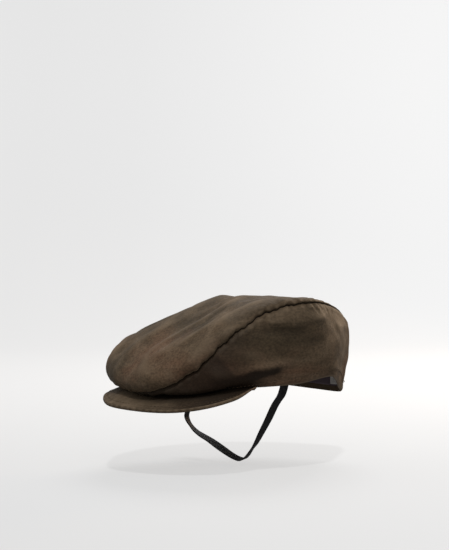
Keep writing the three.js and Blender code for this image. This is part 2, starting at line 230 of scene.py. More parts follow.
# The strap's middle line from its left end to its right end. Twist is in degrees, and is 0 where
# the strap's width points straight forward.
Run = namedtuple("Run", "forward side height twist")
STRAP_LINE = [
    Run(12, 78.6, 28, 0), Run(12, 77.8, 18, 0), Run(12, 76.3, 9, 0), Run(12, 74, 3, 0),
    Run(12, 70, -3, 0), Run(12, 63, -9, 2), Run(12, 57, -15, 4), Run(12, 47, -27, 6),
    Run(12, 35, -40, 14), Run(12, 24, -52, 26), Run(12, 16, -58.5, 32), Run(12, 8, -65, 24),
    Run(12, 0, -69, 15), Run(12, -9, -69.5, 10), Run(12, -21, -68, 8), Run(12, -33, -65.5, 10),
    Run(13, -43, -62.5, 12), Run(15, -58, -57.5, 6), Run(18, -70, -53.5, 0), Run(20, -79, -50, -14),
    Run(22, -85, -45.5, -30), Run(24, -89, -40, -33), Run(24.5, -90, -34, -31), Run(22, -87, -26.5, -22),
    Run(18, -81.5, -19.5, -12), Run(14, -77, -13, -5), Run(12.5, -76.4, -6, 0), Run(12, -77.6, 3, 0),
    Run(12, -78.5, 11, 0),
]

RIM_STITCH_DOWN, PEAK_STITCH_OUT = 1.9, 0.9  # places of the rows on the crown and on the peak
RIM_STITCH_LIFT, PEAK_STITCH_LIFT = 0.3, -0.1
STITCH_LIFT, STITCH_ARCH = 0.6, 1.1  # of a stitch's middle and to its ends, in its radius

STRAP_STEPS, RIB_STEPS = 520, 6
RIB_HEIGHT, RIB_LEVEL, STRAP_EDGE_POWER = 0.26, 0.4, 14
STRAP_GRAIN, STRAP_GRAIN_RATE = 0.05, 1400

# Columns and rows of each panel's grid, and how far its rows crowd towards the panel's edges.
Grid = namedtuple("Grid", "columns rows crowding")
TOP_GRID, SIDE_GRID, PEAK_GRID = Grid(420, 84, 1.35), Grid(240, 64, 1.4), Grid(260, 46, 1.2)
BAND_GRID, TAB_GRID = Grid(360, 16, 1), Grid(16, 14, 1)

UP = np.array([0.0, 0.0, 1.0])
AHEAD = np.array([0.0, -1.0, 0.0])


# Curves

def place_points(rows):
    return np.array([[row.side, -row.forward, row.height] for row in rows], float)


def smooth_curve(points, closed=False):
    """A Catmull-Rom curve through the points, as a function of shares of its way."""
    points = np.asarray(points, float)
    if closed:
        padded = np.concatenate([points[-1:], points, points[:2]])
        spans = len(points)
    else:
        padded = np.concatenate([2 * points[:1] - points[1:2], points, 2 * points[-1:] - points[-2:-1]])
        spans = len(points) - 1

    def at(share):
        share = np.asarray(share, float)
        place = (np.mod(share, 1.0) if closed else np.clip(share, 0, 1)) * spans
        span = np.minimum(place.astype(int), spans - 1)
        t = (place - span)[..., None]
        before, start, end, after = (padded[span + step] for step in range(4))
        leave, arrive = (end - before) / 2, (after - start) / 2
        bend = 3 * (end - start) - 2 * leave - arrive
        return start + t * (leave + t * (bend + t * (2 * (start - end) + leave + arrive)))

    return at


def mirrored(points):
    """A half ring of points, closed with its mirror image."""
    return np.concatenate([points, points[-2:0:-1] * [-1, 1, 1]])


rim = smooth_curve(mirrored(place_points(RIM)), closed=True)
seam = smooth_curve(mirrored(place_points(SEAM)), closed=True)
full_rows = np.array(FULLNESS, float)
fullness_at = smooth_curve(np.concatenate([full_rows, full_rows[-2:0:-1]]), closed=True)
edge_points = place_points(PEAK_EDGE)
peak_edge = smooth_curve(np.concatenate([edge_points[:0:-1] * [-1, 1, 1], edge_points]))
strap_line = smooth_curve(place_points(STRAP_LINE))
strap_twist = smooth_curve([[row.twist] for row in STRAP_LINE])


def unit(vectors):
    return vectors / np.maximum(np.linalg.norm(vectors, axis=-1, keepdims=True), 1e-12)


def smoothstep(x, low, high):
    t = np.clip((x - low) / (high - low), 0, 1)
    return t * t * (3 - 2 * t)


def bump(x, width):
    return np.exp(-((x / width) ** 2))


def in_band(off_edge, band):
    return band.amount * bump(off_edge - band.off, band.reach)


def on_ramp(x, ramp):
    return ramp.amount * smoothstep(x, ramp.low, ramp.high)


def waved(way, waves):
    return sum(
        wave.height * np.sin(way * wave.rate + wave.bend * np.sin(way * wave.slow_rate + wave.phase))
        for wave in waves)


def outward(curve, turn):
    """The level direction straight out from a ring."""
    along = curve(turn + 1e-4) - curve(turn - 1e-4)
    return unit(np.stack([along[..., 1], -along[..., 0], 0 * along[..., 0]], -1))


def leaned(points):
    share = smoothstep(-points[..., 1], LEAN_TO, LEAN_FROM)
    points[..., 2] += points[..., 0] * (LEAN_BACK + (LEAN_FRONT - LEAN_BACK) * share)
    return points


def bezier(t, first, second, third, last):
    t = t[..., None]
    s = 1 - t
    return s**3 * first + 3 * s * s * t * second + 3 * s * t * t * third + t**3 * last


# The crown

def plain_crown(turn, down):
    """Points of the unfolded crown. Down is 0 at its middle, 1 at the seam and 2 at the rim."""
    on_seam, on_rim = seam(turn), rim(turn)
    out = outward(seam, turn)
    full = Full(*np.moveaxis(fullness_at(turn), -1, 0)[..., None])
    middle = np.array([0.0, -APEX_FORWARD, APEX_HEIGHT])
    shoulder = middle + (on_seam - middle) * APEX_SHOULDER
    shoulder[..., 2] = APEX_HEIGHT
    crest = on_seam + out * full.crest_out + UP * full.crest_up
    t = np.clip(down, 0, 1)
    top = bezier(t, middle, shoulder, crest, on_seam)
    hold = 1 - np.exp(-((t / APEX_ROUND) ** 2))
    top[..., 2] -= 3 * t * (1 - t) ** 2 * hold * full.shoulder_down[..., 0]
    belly = on_seam + out * full.belly_out - UP * full.belly_down
    tuck = on_rim + outward(rim, turn) * full.tuck_out + UP * full.tuck_up
    side = bezier(np.clip(down - 1, 0, 1), on_seam, belly, tuck, on_rim)
    return leaned(np.where((down <= 1)[..., None], top, side))


def crown_normal(turn, down):
    across = plain_crown(turn + TURN_STEP, down) - plain_crown(turn - TURN_STEP, down)
    above = plain_crown(turn, np.maximum(down - DOWN_STEP, 0.001))
    below = plain_crown(turn, np.minimum(down + DOWN_STEP, 2))
    normal = unit(np.cross(below - above, across))
    return np.where((down > 0)[..., None], normal, UP)


def fold_rise(x, y, folds):
    """How far the folds lift each place of their panel."""
    total = np.zeros_like(x)
    for fold in folds:
        dx, dy = fold.to_forward - fold.forward, fold.to_side - fold.side
        along = np.clip(((x - fold.forward) * dx + (y - fold.side) * dy) / (dx * dx + dy * dy), 0, 1)
        distance = np.hypot(x - fold.forward - along * dx, y - fold.side - along * dy)
        total += fold.rise * bump(distance, fold.width)
    return total


def noise_at(points, lengths, seed):
    """Smooth noise from about -1 to 1, with its grain's length along each axis, at many points."""
    shape = points.shape[:-1]
    scaled = (points / np.array(lengths, float)).reshape(-1, 3) + seed * 17.3
    return np.array([noise.noise(place) for place in scaled.tolist()]).reshape(shape) * 1.6


def from_edge(points, rows_first):
    """The way in millimetres to each row from the first row, or from the last one, down each column."""
    steps = np.linalg.norm(np.diff(points, axis=0), axis=-1)
    zero = np.zeros((1, points.shape[1]))
    if rows_first:
        return np.concatenate([zero, np.cumsum(steps, axis=0)])
    return np.concatenate([np.cumsum(steps[::-1], axis=0)[::-1], zero])


def way_round(points):
    """The way in millimetres along a row of points."""
    steps = np.linalg.norm(np.diff(points, axis=0), axis=-1)
    return np.concatenate([[0], np.cumsum(steps)])


def puckers(way, reach, height):
    """The small gathers beside a seam: they stand across it and die out within a few millimetres."""
    strength = 0.55 + 0.45 * np.sin(way * 0.037 + 0.8)
    return height * waved(way, GATHER_WAVES) * strength * reach


# Meshes

def grid_faces(index, flip=False):
    """Quads between neighbouring rows and columns of a grid of vertex numbers."""
    quads = np.stack([index[:-1, :-1], index[1:, :-1], index[1:, 1:], index[:-1, 1:]], -1).reshape(-1, 4)
    return quads[:, ::-1].tolist() if flip else quads.tolist()


def shell_faces(rows, columns, ring=False, dome=False):
    """Faces of a closed shell between two grids, the outer one first. A dome starts in one point."""
    outer = np.arange(rows * columns).reshape(rows, columns)
    inner = outer + rows * columns
    if ring:
        outer, inner = (np.concatenate([grid, grid[:, :1]], axis=1) for grid in (outer, inner))
    edges = [np.stack([outer[-1], inner[-1]])]
    if not dome:
        edges.append(np.stack([inner[0], outer[0]]))
    if not ring:
        edges.append(np.stack([inner[:, 0], outer[:, 0]])[:, ::-1])
        edges.append(np.stack([outer[:, -1], inner[:, -1]])[:, ::-1])
    first = 1 if dome else 0
    faces = grid_faces(outer[first:]) + grid_faces(inner[first:], flip=True)
    for edge in edges:
        faces += grid_faces(edge)
    if dome:
        faces += [[int(outer[0, 0]), int(a), int(b)] for a, b in zip(outer[1], outer[1, 1:])]
        faces += [[int(inner[0, 0]), int(b), int(a)] for a, b in zip(inner[1], inner[1, 1:])]
    return faces


def make_piece(name, points, faces, material, node=None, marks=None):
    """A smooth mesh object from points in millimetres, which rides on the cap and may replace a node."""
    points = (np.asarray(points) * MM).reshape(-1, 3)
    used = np.unique(np.concatenate(faces))  # a dome's first row has spare points
    number = np.zeros(len(points), int)
    number[used] = np.arange(len(used))
    mesh = bpy.data.meshes.new(name)
    mesh.from_pydata(points[used].tolist(), [], [number[face].tolist() for face in faces])
    for mark, values in (marks or {}).items():
        layer = mesh.attributes.new(mark, "FLOAT", "POINT")
        layer.data.foreach_set("value", np.asarray(values, np.float32).ravel()[used])
    mesh.shade_smooth()
    mesh.materials.append(material)
    piece = bpy.data.objects.new(name, mesh)
    bpy.context.scene.collection.objects.link(piece)
    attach(piece, "root")
    if node:
        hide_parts(node)
    return piece


# Materials

# Noises: their scale, their stretch along the axes, the values between which they show, their detail.
Mottle = namedtuple("Mottle", "scale stretch low high detail")
BLOTCH = Mottle(26, (1, 0.45, 1), 0.36, 0.64, 4)
WARM_PATCH = Mottle(17, (1, 0.6, 1.2), 0.5, 0.72, 3)
LIGHT_STREAK = Mottle(80, (1, 0.1, 1), 0.45, 0.7, 3)
DARK_STREAK = Mottle(66, (1, 0.12, 1.1), 0.52, 0.7, 3)
FLECK = Mottle(620, (1, 0.6, 1), 0.3, 0.7, 2)
WAVES_IN_THREAD = 0.31  # of a wave texture's own scale
WAXED_FINISH = {
    "Sheen Weight": 0.03, "Sheen Roughness": 0.5, "Sheen Tint": (0.9, 0.75, 0.55),
    "Specular IOR Level": 0.12,
}
PLAIN_FINISH = {"Sheen Weight": 0.02, "Specular IOR Level": 0.15}


def new_material(name):
    material = bpy.data.materials.new(name)
    material.use_nodes = True
    material.node_tree.nodes.clear()
    return material, material.node_tree


def put(tree, socket, value):
    """Feeds a socket from another one, or sets it to a number, a vector or a colour."""
    if isinstance(value, bpy.types.NodeSocket):
        tree.links.new(value, socket)
    elif socket.type == "RGBA":
        socket.default_value = (*value[:3], 1)
    else:
        socket.default_value = value


def add_node(tree, kind, *feeds, **settings):
    """A node. The feeds go to its first sockets, and a setting is a socket's or else a property's."""
    node = tree.nodes.new(kind)
    for socket, value in zip(node.inputs, feeds):
        put(tree, socket, value)
    for key, value in settings.items():
        if key.replace("_", " ") in node.inputs:
            put(tree, node.inputs[key.replace("_", " ")], value)
        else:
            setattr(node, key, value)
    return node


def mix_colours(tree, share, first, second, blend="MIX"):
    """A colour mix whose parts are sockets or plain colours."""
    node = add_node(tree, "ShaderNodeMix", data_type="RGBA", blend_type=blend)
    for number, value in ((0, share), (6, first), (7, second)):
        put(tree, node.inputs[number], value)
    return node.outputs[2]


def times(tree, socket, factor):
    return add_node(tree, "ShaderNodeMath", socket, factor, operation="MULTIPLY").outputs[0]


def cloth_mark(tree, name):
    """A mark that the mesh carries at each of its points, such as its wear with its painted highlights."""
    return add_node(tree, "ShaderNodeAttribute", attribute_name=name).outputs["Fac"]


def noise_share(tree, vector, mottle):
    """A noise as a share, which is 0 at its low and 1 at its high."""
    place = add_node(tree, "ShaderNodeMapping", Vector=vector, Scale=mottle.stretch).outputs[0]
    grain = add_node(
        tree, "ShaderNodeTexNoise", Vector=place, Scale=mottle.scale, Detail=mottle.detail)
    ramp = add_node(
        tree, "ShaderNodeMapRange", Value=grain.outputs["Fac"], From_Min=mottle.low, From_Max=mottle.high)
    return ramp.outputs["Result"]


def weave_bump(tree, vector, threads, strength, distance, **settings):
    """The crossing threads of a plain weave, as a bump. Threads is their number in a metre."""
    height = 0
    for axis in "XYZ":
        wave = add_node(
            tree, "ShaderNodeTexWave", Vector=vector, Scale=threads * WAVES_IN_THREAD, Distortion=0.6,
            Detail=1, bands_direction=axis)
        height = add_node(tree, "ShaderNodeMath", height, wave.outputs["Fac"], operation="ADD").outputs[0]
    weave = add_node(
        tree, "ShaderNodeBump", Strength=strength, Distance=distance, Height=height, **settings)
    return weave.outputs["Normal"]


def waxed_cotton(name, cloth):
    """Dark olive-brown, blotched and streaked with wax, rubbed light on its crests, dark in its seams,
    with painted highlights and painted shade laid on by the marks that the mesh carries.
    """
    material, tree = new_material(name)
    place = add_node(tree, "ShaderNodeTexCoord").outputs["Object"]
    blotch = noise_share(tree, place, BLOTCH)
    colour = mix_colours(tree, blotch, cloth.dark, cloth.middle)
    colour = mix_colours(tree, noise_share(tree, place, WARM_PATCH), colour, cloth.warm)
    light_streak = times(tree, noise_share(tree, place, LIGHT_STREAK), 0.42)
    colour = mix_colours(tree, light_streak, colour, cloth.worn_and_highlight)
    dark_streak = times(tree, noise_share(tree, place, DARK_STREAK), 0.6)
    colour = mix_colours(tree, dark_streak, colour, cloth.dark)
    fleck = mix_colours(tree, noise_share(tree, place, FLECK), [0.45] * 3, [1.5] * 3)
    colour = mix_colours(tree, 0.55, colour, fleck, "MULTIPLY")
    # The wear mark brings in the light colour: real wear on edges, hems and gathers, and painted
    # highlights on the crests, along the front seam, near the back and on the peak's front.
    colour = mix_colours(tree, cloth_mark(tree, "wear_and_highlight"), colour, cloth.worn_and_highlight)
    # The shade mark brings in the deep colour: dark seams, and painted shade in the troughs, in the
    # hollows, on the front of the sides and on the peak under the crown.
    colour = mix_colours(tree, cloth_mark(tree, "shade"), colour, cloth.deep)
    gloss = add_node(tree, "ShaderNodeMapRange", Value=blotch, To_Min=0.55, To_Max=0.78)
    crumple = add_node(tree, "ShaderNodeTexNoise", Vector=place, Scale=150, Detail=5, Roughness=0.55)
    creases = add_node(
        tree, "ShaderNodeBump", Strength=0.35, Distance=0.0012, Height=crumple.outputs["Fac"])
    shader = add_node(
        tree, "ShaderNodeBsdfPrincipled", Base_Color=colour, Roughness=gloss.outputs["Result"],
        Normal=weave_bump(tree, place, 1500, 0.25, 0.00015, Normal=creases.outputs["Normal"]),
        **WAXED_FINISH)
    add_node(tree, "ShaderNodeOutputMaterial", Surface=shader.outputs[0])
    return material


def plain_cloth(name, dark, light, threads, roughness, grain=60):
    """A plain woven cloth in two near colours, for the band, the tab, the thread and the elastic."""
    material, tree = new_material(name)
    place = add_node(tree, "ShaderNodeTexCoord").outputs["Object"]
    mottle = Mottle(grain, (1, 1, 1), 0.35, 0.65, 3)
    colour = mix_colours(tree, noise_share(tree, place, mottle), dark, light)
    shader = add_node(
        tree, "ShaderNodeBsdfPrincipled", Base_Color=colour, Roughness=roughness,
        Normal=weave_bump(tree, place, threads, 0.4, 0.0002), **PLAIN_FINISH)
    add_node(tree, "ShaderNodeOutputMaterial", Surface=shader.outputs[0])
    return material


def toned(colour, share):
    return [part * share for part in colour]


def material_once(name, maker, *colours, **finish):
    """The material of that name, made the first time that a piece asks for it."""
    return bpy.data.materials.get(name) or maker(name, *colours, **finish)


def cotton(scene):
    return material_once("waxed_cotton", waxed_cotton, scene.cap_cloth)


# Settings

def colour_setting(name, description, default):
    return FloatVectorProperty(name=name, description=description, subtype="COLOR", default=default)


def length_setting(name, description, default, **limits):
    return FloatProperty(
        name=name, description=description, default=default, unit="LENGTH", precision=4, **limits)


def power_setting(name, description, default):
    return FloatProperty(name=name, description=description, default=default, unit="POWER", min=0)


def strength_setting(name, description, default, **limits):
    return FloatProperty(name=name, description=description, default=default, min=0, **limits)


class CapCloth(PropertyGroup):
    """Colours of the cap's cloths."""
    dark: colour_setting("Dark cloth", "The waxed cotton where its wax is thick", (0.054, 0.038, 0.022))
    middle: colour_setting("Middle cloth", "The waxed cotton in its usual colour", (0.104, 0.07, 0.042))
    warm: colour_setting("Warm cloth", "The reddish patches of the waxed cotton", (0.125, 0.069, 0.041))
    # The light colour is also the colour of the painted highlights.
    worn_and_highlight: colour_setting("Worn cloth", "The waxed cotton on rubbed crests and edges", (0.19, 0.138, 0.09))
    # The seam colour is also the colour of the painted shade in troughs, hollows, on the sides' front and
    # on the peak.
    deep: colour_setting("Seam shade", "The waxed cotton down in a seam", (0.008, 0.005, 0.003))
    lining: colour_setting("Sweatband", "The purple-grey sweatband", (0.14, 0.105, 0.12))
    tape: colour_setting("Tab", "The light grey tape of the back tab", (0.75, 0.72, 0.68))
    elastic: colour_setting("Elastic", "The black elastic of the chin strap", (0.019, 0.017, 0.018))


class CapSewing(PropertyGroup):
    """Sizes of the cap's folds, seams and stitches."""
    crumple: length_setting("Crumple", "How far the fine crumples of the cloth rise", 0.0009, min=0)
    pucker: length_setting("Pucker", "How far the gathers beside the seams rise", 0.0006, min=0)
    seam_depth: length_setting("Seam depth", "How deep the cloth rolls in at a seam", 0.0011, min=0)
    stitch: length_setting("Stitch", "Length of one stitch", 0.0026, min=0.001)
    stitch_gap: length_setting("Stitch gap", "Free way between two stitches", 0.0009, min=0.0002)
    thread: length_setting("Thread", "Thickness of the sewing thread", 0.00055, min=0.0001)
    strap_width: length_setting("Strap width", "Width of the elastic", 0.009, min=0.003)
    strap_thickness: length_setting(
        "Strap thickness", "Thickness of the elastic between its ribs", 0.0011, min=0.0004)
    strap_ribs: IntProperty(
        name="Strap ribs", description="Ribs across the elastic's width", default=6, min=2)


class CapStage(PropertyGroup):
    """The camera, the lights and the floor."""
    azimuth: FloatProperty(
        name="Azimuth", description="Way round the cap to the camera, from straight ahead",
        subtype="ANGLE", default=np.radians(61))
    elevation: FloatProperty(
        name="Elevation", description="How far the camera looks down",
        subtype="ANGLE", default=np.radians(1.5))
    distance: length_setting("Distance", "From the camera to the point it looks at", 1.6)
    lens: FloatProperty(
        name="Lens", description="Focal length of the camera in millimetres", default=110.62)
    aim: FloatVectorProperty(
        name="Aim", description="The point that the camera looks at",
        subtype="TRANSLATION", unit="LENGTH", default=(-0.01387, -0.02421, 0.10507))
    floor_gap: length_setting("Floor gap", "From the strap's lowest point down to the floor", 0.004, min=0)
    sky: strength_setting("Sky", "Strength of the even light from above", 0.26)
    ground: strength_setting("Ground", "Strength of the even light from below", 0.24)
    sun_strength: strength_setting("Sun", "Strength of the far light above, which throws the shadow", 1.1)
    front_power: power_setting("Front light", "Power of the wide light above the camera", 3.5)
    top_power: power_setting("Top light", "Power of the wide light above the cap", 12)
    left_power: power_setting("Left light", "Power of the light on the left", 2.6)
    rim_power: power_setting("Rim light", "Power of the light behind the right side", 10)
    rim_colour: colour_setting("Rim colour", "The warm colour of the rim light", (1, 0.72, 0.48))
    paper_glow: strength_setting("Paper glow", "How far the paper shines by itself", 0.78)
    paper_share: strength_setting(
        "Paper share", "How far the lamps and their shadows show on the paper", 0.3, max=1)


# Pieces

class PanelPlaces:
    """The unfolded places of one panel on a grid, and the ways from them to its edges."""

    def __init__(self, turns, downs):
        self.turn, self.down = np.meshgrid(turns, downs)
        self.plain = plain_crown(self.turn, self.down)
        self.normal = crown_normal(self.turn, self.down)
        self.on_top = downs[-1] <= 1
        self.forward = -self.plain[..., 1]
        self.across = self.plain[..., 0] if self.on_top else self.plain[..., 2]
        before = way_round(seam(np.linspace(0, turns[0], 400)))[-1]
        self.way = before + way_round(seam(np.asarray(turns)))[None, :]
        self.off_seam = from_edge(self.plain, not self.on_top)
        self.off_rim = from_edge(self.plain, False)
        self.turns_from_front = np.minimum(self.turn, 1 - self.turn)
        self.off_back = np.abs(self.turn - 0.5) * ROUND
        self.off_ends = np.minimum(self.turns_from_front, np.abs(self.turn - 0.5)) * ROUND
        self.seam_shows = on_ramp(self.turns_from_front, SEAM_SHOWS)


def panel_rise(at, deep, fine, sewing):
    """How far the cloth stands off its plain place: folds, creases, gathers and rolled-in edges."""
    fade = 1 - at.down**8 if at.on_top else 1 - np.abs(2 * at.down - 3) ** 4
    fine = fine * on_ramp(at.off_seam, CREASES_START)
    depth = sewing.seam_depth / MM
    gather = puckers(at.way, in_band(at.off_seam, SEAM_GATHER), sewing.pucker / MM)
    roll = depth * in_band(at.off_seam, SEAM_ROLL) * (0.3 + 0.7 * at.seam_shows)
    rise = deep * fade + fine + gather + in_band(at.off_seam, SEAM_ALLOWANCE) - roll
    if not at.on_top:
        rise -= fine * in_band(at.off_rim, RIM_CALM)
        rise -= in_band(at.off_rim, RIM_ROLL) - in_band(at.off_rim, RIM_RIDGE)
        rise -= depth * in_band(at.off_ends, END_ROLL) * (1 - in_band(at.off_rim, RIM_NO_ROLL))
    return rise


def seam_snake(at):
    """How far the sewn line wanders up and down, where the gathers pull it. Both panels share it."""
    near_front = at.seam_shows * (1 - on_ramp(at.turns_from_front, SNAKE_ENDS))
    return waved(at.way, SNAKE_WAVES) * near_front * in_band(at.off_seam, SEAM_SNAKE)


def panel_wear_and_highlight(at, relief, crumple, hem):
    """Where the cloth is light: worn with painted highlight on its crests, worn on the gathers and at the
    hem, and painted highlights along the front seam and near the back.
    """
    crests = on_ramp(relief, CREST_WEAR_AND_HIGHLIGHT)
    gathers = in_band(at.off_seam, SEAM_WEAR) * (0.5 + 0.5 * np.sin(at.way * 0.66))
    if at.on_top:
        # A painted highlight along the ridge of the front seam.
        edge = in_band(at.off_seam, FRONT_SEAM_HIGHLIGHT)
        edge = edge * (1 - on_ramp(at.turns_from_front, SEAM_WEAR_ENDS))
    else:
        # A painted highlight near the back of the side panel.
        edge = in_band(at.off_back, BACK_HIGHLIGHT) * (0.8 + 0.35 * crumple)
    return np.maximum.reduce([crests, gathers, edge, in_band(hem, RIM_WEAR)])


def panel_shade(at, relief, hollow):
    """Where the cloth is dark: dark seams, and painted shade in its troughs, in the hollow, on the front
    of the sides and low above the peak.
    """
    seam_line = in_band(at.off_seam, SEAM_SHADE) * at.seam_shows
    # Dark seams, and painted shade in the hollow and in the troughs.
    shades = [seam_line, on_ramp(hollow, HOLLOW_SHADE), on_ramp(-relief, TROUGH_SHADE)]
    if not at.on_top:
        # Painted shade low above the peak and over the front of the side panels.
        above = at.off_rim - on_ramp(at.forward, LOW_SHADE_HEIGHT)
        low_front = on_ramp(at.forward, LOW_SHADE) * (1 - on_ramp(above, LOW_SHADE_ENDS))
        shades += [in_band(at.off_ends, END_SHADE), low_front, on_ramp(at.forward, FRONT_SHADE)]
    return np.maximum.reduce(shades)


def crown_panel(turns, downs, folds, creases, sewing, hollow=(), ring=False, dome=False):
    """The two faces of one panel of the crown, with the marks of its wear, its seams, its painted
    highlights and its painted shade.
    """
    at = PanelPlaces(turns, downs)
    deep = fold_rise(at.forward, at.across, folds)
    fine = fold_rise(at.forward, at.across, creases)
    hollow = -fold_rise(at.forward, at.across, hollow)
    crumple = noise_at(at.plain, CRUMPLE, 1) + 0.5 * noise_at(at.plain, SMALL_CRUMPLE, 2)
    relief = fine + 0.7 * crumple + 0.35 * deep
    rise = panel_rise(at, deep, fine + crumple * sewing.crumple / MM, sewing)
    outer = at.plain + at.normal * rise[..., None] + UP * seam_snake(at)[..., None]
    inner = outer - at.normal * CLOTH
    hem = 0 * relief if at.on_top else in_band(at.off_rim, RIM_HEM)
    wear_and_highlight = panel_wear_and_highlight(at, relief, crumple, hem)
    shade = panel_shade(at, relief, hollow)
    marks = {"wear_and_highlight": np.stack([wear_and_highlight, hem]), "shade": np.stack([shade, 0 * shade])}
    return np.stack([outer, inner]), shell_faces(len(downs), len(turns), ring, dome), marks


def peak_point(across, out):
    """Points on top of the peak. Across runs from its right corner to its left, out from the rim."""
    turn = (2 * across - 1) * PEAK_CORNER
    inner = rim(turn) - outward(rim, turn) * PEAK_TUCK - UP * PEAK_DROP
    points = inner + (peak_edge(across) - inner) * out[..., None]
    points[..., 2] += PEAK_CAMBER * 4 * out * (1 - out) * np.sin(np.pi * across)
    return leaned(points)


def peak_normal(across, out):
    left = peak_point(np.minimum(across + ACROSS_STEP, 1), out)
    right = peak_point(np.maximum(across - ACROSS_STEP, 0), out)
    outer = peak_point(across, np.minimum(out + OUT_STEP, 1))
    inner = peak_point(across, np.maximum(out - OUT_STEP, 0))
    return unit(np.cross(outer - inner, left - right))


class PeakRow:
    """One row of a face of the peak: its points, its shares out from the rim, its way to the edge."""

    def __init__(self, across, out, depth, on_top):
        ends = peak_point(across, np.ones_like(across)), peak_point(across, 0 * across)
        reach = np.linalg.norm(ends[0] - ends[1], axis=-1)
        self.out = np.minimum(np.full_like(across, out), 1 - PEAK_LIP / reach)
        self.off_edge = (1 - self.out) * reach
        base = peak_point(across, self.out)
        ripple = noise_at(base, PEAK_RIPPLE_GRAIN, 5) * in_band(self.off_edge, PEAK_RIPPLE)
        groove = sum(in_band(self.off_edge, band) for band in PEAK_GROOVES)
        ridge = in_band(self.out * reach, PEAK_JOIN_RIDGE) if on_top else 0
        side = 1 if on_top else -1
        rise = side * (ripple - groove) + ridge - depth * peak_share_of_thickness(across)
        self.points = base + peak_normal(across, np.full_like(across, out)) * rise[:, None]


def peak_share_of_thickness(across):
    return PEAK_THIN + on_ramp(np.minimum(across, 1 - across), PEAK_THICKER)


def peak_lip(across, angles):
    """The rounded edge of the peak, one row for each angle."""
    edge = np.ones_like(across)
    normal, base = peak_normal(across, edge), peak_point(across, edge)
    inward = unit(peak_point(across, edge * 0.97) - base)
    half = PEAK_THICKNESS / 2 * peak_share_of_thickness(across)[:, None]
    return [
        base + inward * (PEAK_LIP * (1 - np.cos(angle))) + normal * (half * (np.sin(angle) - 1))
        for angle in angles]


def peak_mesh():
    """The peak's two faces with its lip between them, and the marks of its wear, its painted highlight and
    its painted shadow.
    """
    across = np.linspace(0, 1, PEAK_GRID.columns)
    outs = 1 - np.linspace(1, 0, PEAK_GRID.rows) ** PEAK_GRID.crowding
    off_middle = np.abs(2 * across - 1)
    # Painted shadow of the crown on the peak, at its join and towards its corners.
    join = PEAK_JOIN_SHADE + on_ramp(off_middle, PEAK_JOIN_SIDES)
    corners = on_ramp(off_middle, PEAK_CORNER_SHADE)
    rows, wears_and_highlights, shades = [], [], []
    for out in outs:
        row = PeakRow(across, out, 0, True)
        rows.append(row.points)
        # Painted highlight on the outer part of the peak's front, streaked.
        rubbed = on_ramp(row.out, PEAK_HIGHLIGHT) * (1 - on_ramp(off_middle, PEAK_HIGHLIGHT_ENDS))
        streaks = 0.75 + 0.35 * noise_at(row.points, PEAK_STREAK_GRAIN, 9)
        wears_and_highlights.append(np.maximum(in_band(row.off_edge, PEAK_EDGE_WEAR), rubbed * streaks))
        # Painted shadow of the crown: darkest at the join, fading towards the edge, and darker towards the
        # corners.
        shades.append(np.maximum(join * (1 - on_ramp(row.out, PEAK_JOIN_ENDS)), corners))
    lip = peak_lip(across, np.radians(np.linspace(75, -75, 9)))
    rows += lip
    wears_and_highlights += [0.55 * (0.6 + 0.4 * np.sin(way_round(peak_edge(across)) * 0.9))] * len(lip)
    under = [PeakRow(across, out, PEAK_THICKNESS, False) for out in outs[::-1]]
    rows += [row.points for row in under]
    wears_and_highlights += [in_band(row.off_edge, PEAK_UNDER_WEAR) for row in under]
    shades += [0 * across] * (len(lip) + len(under))
    index = np.arange(len(rows) * len(across)).reshape(len(rows), -1)
    faces = grid_faces(np.concatenate([index, index[:1]]), flip=True)
    faces += end_faces(index[:, 0]) + end_faces(index[::-1, -1])
    return np.array(rows), faces, {"wear_and_highlight": np.array(wears_and_highlights), "shade": np.array(shades)}


def end_faces(loop):
    """Closes one end of the peak between its two faces."""
    faces = []
    low, high = 0, len(loop) - 1
    while high - low > 2:
        faces.append([int(loop[k]) for k in (low, low + 1, high - 1, high)])
        low, high = low + 1, high - 1
    faces.append([int(loop[k]) for k in range(low, high + 1)])
    return faces


def band_point(turn, up, depth):
    """Points of the sweatband, which stands up from just above the rim, at a depth inward."""
    foot = plain_crown(turn, np.full_like(turn, BAND_START))
    foot = foot - crown_normal(turn, np.full_like(turn, BAND_START)) * (CLOTH + BAND_INSET)
    rise = up * BAND_HEIGHT
    return foot + outward(rim, turn) * (BAND_FLARE * rise - depth)[..., None] + UP * rise[..., None]


def stitch_row(points, normals, sewing):
    """Separate stitches along a line of points, as one set of points and faces."""
    length, gap, radius = sewing.stitch / MM, sewing.stitch_gap / MM, sewing.thread / MM / 2
    way = way_round(points)
    count = int(way[-1] / (length + gap))
    sides, rings = 6, 5
    starts = np.arange(count) * way[-1] / count
    lengthwise = np.linspace(0, 1, rings)
    places = starts[:, None] + lengthwise * length
    at = np.stack([np.interp(places, way, points[:, k]) for k in range(3)], -1)
    up = unit(np.stack([np.interp(places, way, normals[:, k]) for k in range(3)], -1))
    along = unit(at[:, -1:] - at[:, :1])
    side = unit(np.cross(along, up))
    off_middle = 2 * lengthwise - 1
    girth = radius * np.sqrt(np.clip(1 - off_middle**4, 0.06, 1))
    lift = radius * (STITCH_LIFT - STITCH_ARCH * off_middle**2)
    angle = np.arange(sides) * 2 * np.pi / sides
    ring = side[:, :, None] * np.cos(angle)[:, None] + up[:, :, None] * np.sin(angle)[:, None]
    body = at[:, :, None] + up[:, :, None] * lift[:, None, None] + ring * girth[:, None, None]
    index = np.arange(count * rings * sides).reshape(count, rings, sides)
    index = np.concatenate([index, index[:, :, :1]], axis=2)
    faces = []
    for stitch in index:
        faces += grid_faces(stitch, flip=True)
        faces.append(stitch[0, :-1].tolist())
        faces.append(stitch[-1, :-1][::-1].tolist())
    return body.reshape(-1, 3), faces


